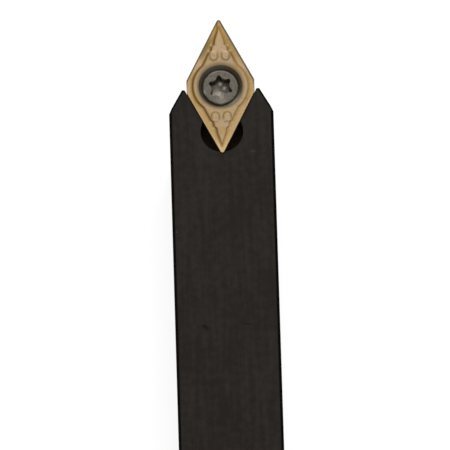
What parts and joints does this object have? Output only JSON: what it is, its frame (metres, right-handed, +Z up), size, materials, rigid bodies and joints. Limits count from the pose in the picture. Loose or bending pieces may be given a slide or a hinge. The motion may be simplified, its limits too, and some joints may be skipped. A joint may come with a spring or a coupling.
{
  "type": "turning tool holder",
  "caption": "Neutral lathe turning tool holder: square shank, V seat at its nose, and a screw-clamped diamond cutting insert.",
  "frame": {"origin": "middle of the underside, halfway between the rear face and the cutting nose", "axes": "+Y along the shank from its rear face to the cutting nose, +Z up from the underside to the cutting edge, +X to the right seen from the rear"},
  "size_m": [0.01, 0.07, 0.01],
  "materials": {
    "black_oxide_steel": "dull black oxide",
    "coated_carbide": "satin gold coating",
    "screw_steel": "dark phosphated steel"
  },
  "bodies": {
    "holder": {"holder_body": "black_oxide_steel", "cutting_insert": "coated_carbide"},
    "screw": {"clamp_screw": "screw_steel"}
  },
  "joints": [
    {"name": "clamp_screw_turn", "type": "hinge", "parent": "holder", "child": "screw", "pos_m": [0, 0.02836, 0.00762], "axis": [0, 0, 1], "range_deg": [0, 3618]}
  ]
}
